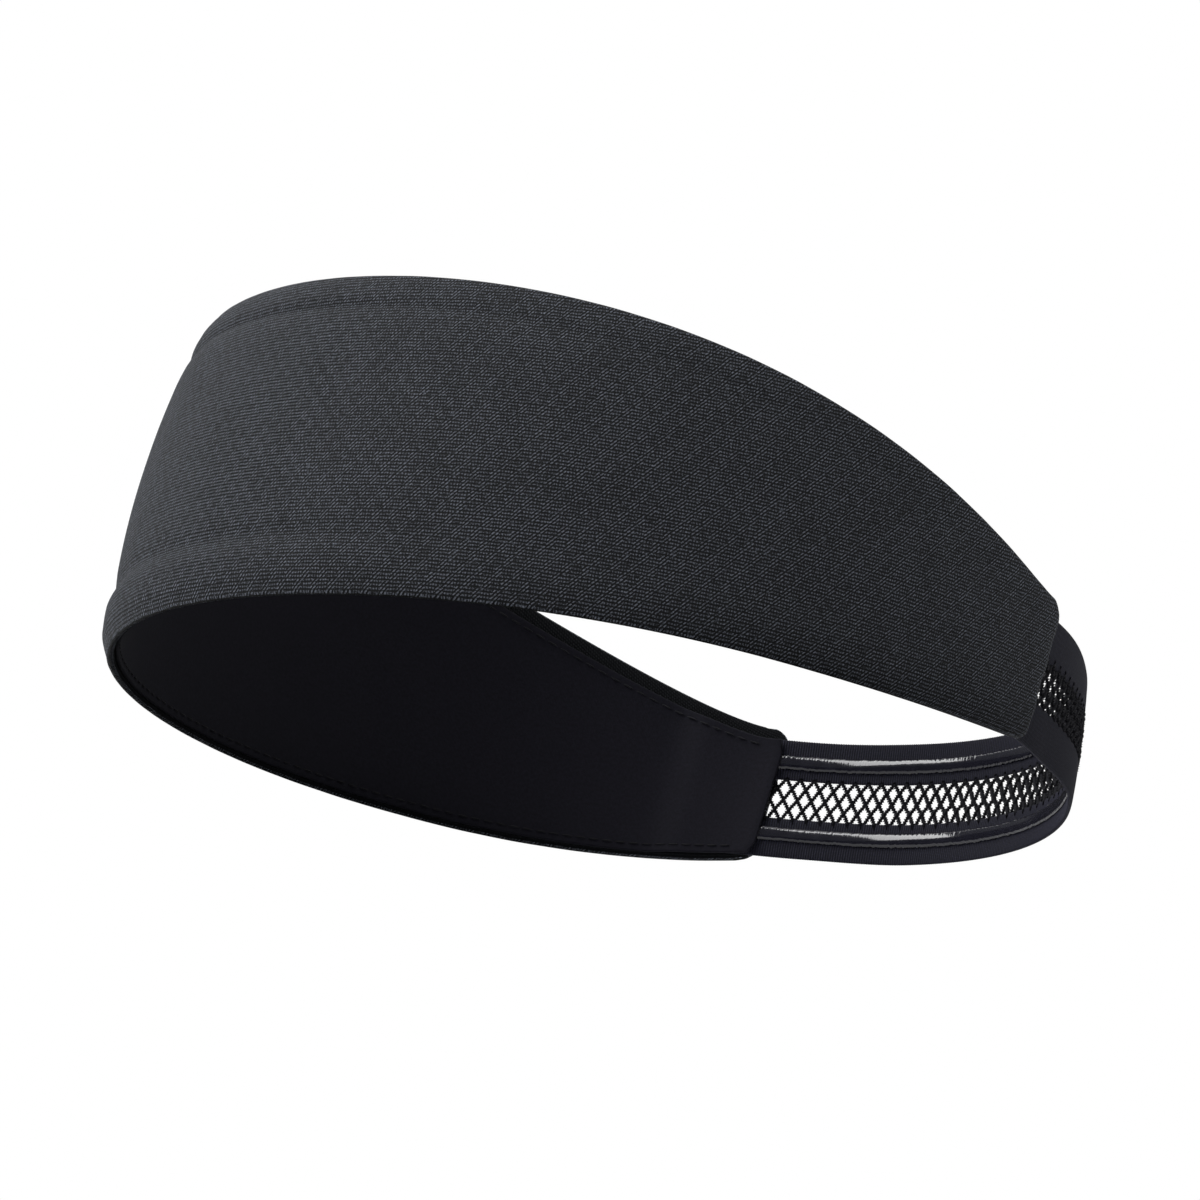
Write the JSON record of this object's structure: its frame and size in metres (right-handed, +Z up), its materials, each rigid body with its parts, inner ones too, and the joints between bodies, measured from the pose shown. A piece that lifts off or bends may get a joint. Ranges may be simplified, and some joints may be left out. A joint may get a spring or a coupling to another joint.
{
  "type": "sports headband",
  "caption": "Tapered sports headband: a wide two-layer knit panel over the forehead, closed behind by a narrow elastic band with a net lane and silicone grips.",
  "frame": {"origin": "on the floor plane, under the middle of the bounding box", "axes": "+Y from the forehead to the back of the head, +Z up, +X to the wearer's left"},
  "size_m": [0.1586, 0.1893, 0.0645],
  "materials": {
    "outer_knit": "charcoal jersey with a small relief lattice",
    "lining_knit": "smooth brushed tricot",
    "elastic_rib": "fine ribbed elastic",
    "elastic_net": "open knitted net",
    "clear_silicone": "clear glossy silicone",
    "thread": "polyester sewing thread"
  },
  "bodies": {
    "panel": {"outer_panel": "outer_knit", "inner_lining": "lining_knit", "top_hem_seam": "thread", "bottom_hem_seam": "thread", "left_end_seam": "thread", "right_end_seam": "thread"},
    "rear_band": {"band_upper_rib": "elastic_rib", "band_net": "elastic_net", "band_lower_rib": "elastic_rib", "upper_grip_strip": "clear_silicone", "lower_grip_strip": "clear_silicone"}
  },
  "joints": [
    {"name": "rear_stretch", "type": "slide", "parent": "panel", "child": "rear_band", "axis": [0, 1, 0], "range_m": [0, 0.025], "stiffness_N_per_m": 160, "deforming": ["band_upper_rib", "band_net", "band_lower_rib", "upper_grip_strip", "lower_grip_strip"]}
  ]
}
